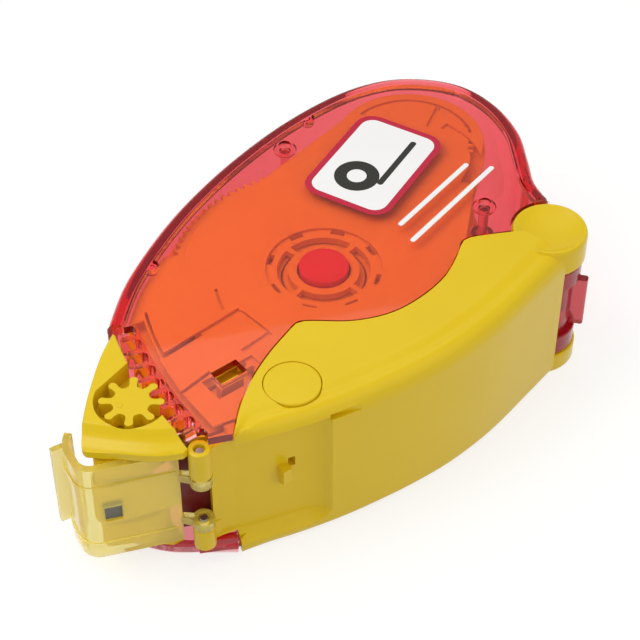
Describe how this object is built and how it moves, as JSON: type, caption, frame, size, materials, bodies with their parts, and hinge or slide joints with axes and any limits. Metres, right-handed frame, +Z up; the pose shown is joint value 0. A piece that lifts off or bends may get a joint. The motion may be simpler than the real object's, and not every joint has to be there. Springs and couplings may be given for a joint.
{
  "type": "refillable tape roller",
  "caption": "Hand-held roller for adhesive or correction tape, with a red translucent housing hinged to a yellow grip, a thumb gear on an arc rack, tape reels and a folding clear cap.",
  "frame": {"origin": "middle of the flat base, under the centre of the bounding box", "axes": "+X from the nose towards the tail hinge, +Y from the grip towards the hump, +Z up through the thickness"},
  "size_m": [0.1012, 0.066, 0.0286],
  "materials": {
    "red_translucent": "translucent tinted gloss",
    "yellow_plastic": "satin",
    "clear_yellow": "clear tinted gloss plastic",
    "tape_white": "matte film",
    "pin_steel": "drawn",
    "roller_rubber": "matte"
  },
  "bodies": {
    "housing": {"case_shell": "red_translucent", "top_cover": "red_translucent"},
    "chassis": {"grip_shell": "yellow_plastic", "grip_plug": "yellow_plastic", "nose_frame": "yellow_plastic", "gear_axle": "pin_steel", "tail_hinge_pin": "pin_steel", "cap_pin_upper": "pin_steel", "cap_pin_lower": "pin_steel", "cassette_tray": "yellow_plastic", "cassette_bridge": "yellow_plastic", "supply_post": "red_translucent", "takeup_post": "yellow_plastic", "front_guide_pin": "pin_steel", "rear_guide_pin": "pin_steel", "lower_guide_pin": "pin_steel", "tip_frame": "yellow_plastic", "tip_axle": "pin_steel", "tape_ribbon": "tape_white"},
    "catch": {"catch_arm": "yellow_plastic"},
    "thumb_gear": {"thumb_gear": "yellow_plastic"},
    "cap": {"cap": "clear_yellow"},
    "supply_reel": {"supply_gear": "yellow_plastic", "supply_spool": "yellow_plastic", "tape_roll": "tape_white", "clutch_ring": "pin_steel"},
    "takeup_reel": {"takeup_gear": "yellow_plastic", "takeup_spool": "yellow_plastic", "takeup_winding": "tape_white"},
    "front_guide": {"front_guide_roller": "yellow_plastic"},
    "rear_guide": {"rear_guide_roller": "yellow_plastic"},
    "tip_roller": {"tip_roller": "roller_rubber"}
  },
  "joints": [
    {"name": "chassis_swing", "type": "hinge", "parent": "housing", "child": "chassis", "pos_m": [0.03967, -0.01645, 0.014], "axis": [0, 0, 1], "range_deg": [0, 38]},
    {"name": "thumb_gear_spin", "type": "hinge", "parent": "chassis", "child": "thumb_gear", "pos_m": [-0.03758, -0.01645, 0.0268], "axis": [0, 0, 1], "range_deg": [0, 700]},
    {"name": "cap_hinge", "type": "hinge", "parent": "chassis", "child": "cap", "pos_m": [-0.03223, -0.02825, 0.014], "axis": [0, 0, 1], "range_deg": [0, 180]},
    {"name": "supply_spin", "type": "hinge", "parent": "chassis", "child": "supply_reel", "pos_m": [0.00327, -0.00425, 0.014], "axis": [0, 0, 1], "continuous": true},
    {"name": "takeup_spin", "type": "hinge", "parent": "chassis", "child": "takeup_reel", "pos_m": [0.03276, 0.0164, 0.014], "axis": [0, 0, 1], "continuous": true},
    {"name": "front_guide_spin", "type": "hinge", "parent": "chassis", "child": "front_guide", "pos_m": [-0.02053, -0.00985, 0.014], "axis": [0, 0, 1], "continuous": true},
    {"name": "rear_guide_spin", "type": "hinge", "parent": "chassis", "child": "rear_guide", "pos_m": [0.02087, -0.02365, 0.014], "axis": [0, 0, 1], "continuous": true},
    {"name": "tip_roller_spin", "type": "hinge", "parent": "chassis", "child": "tip_roller", "pos_m": [-0.04453, -0.02005, 0.014], "axis": [0, 0, 1], "continuous": true},
    {"name": "catch_flex", "type": "hinge", "parent": "chassis", "child": "catch", "pos_m": [-0.01583, -0.0179, 0.0236], "axis": [0.1392, -0.9903, 0], "range_deg": [0, 4], "stiffness_Nm_per_rad": 0.02}
  ],
  "couplings": [
    {"joint": "thumb_gear_spin", "follows": "chassis_swing", "ratio": 18.312},
    {"joint": "takeup_spin", "follows": "supply_spin", "ratio": -2.2727},
    {"joint": "front_guide_spin", "follows": "supply_spin", "ratio": -10.278},
    {"joint": "rear_guide_spin", "follows": "supply_spin", "ratio": 9.25},
    {"joint": "tip_roller_spin", "follows": "supply_spin", "ratio": 10.882}
  ]
}
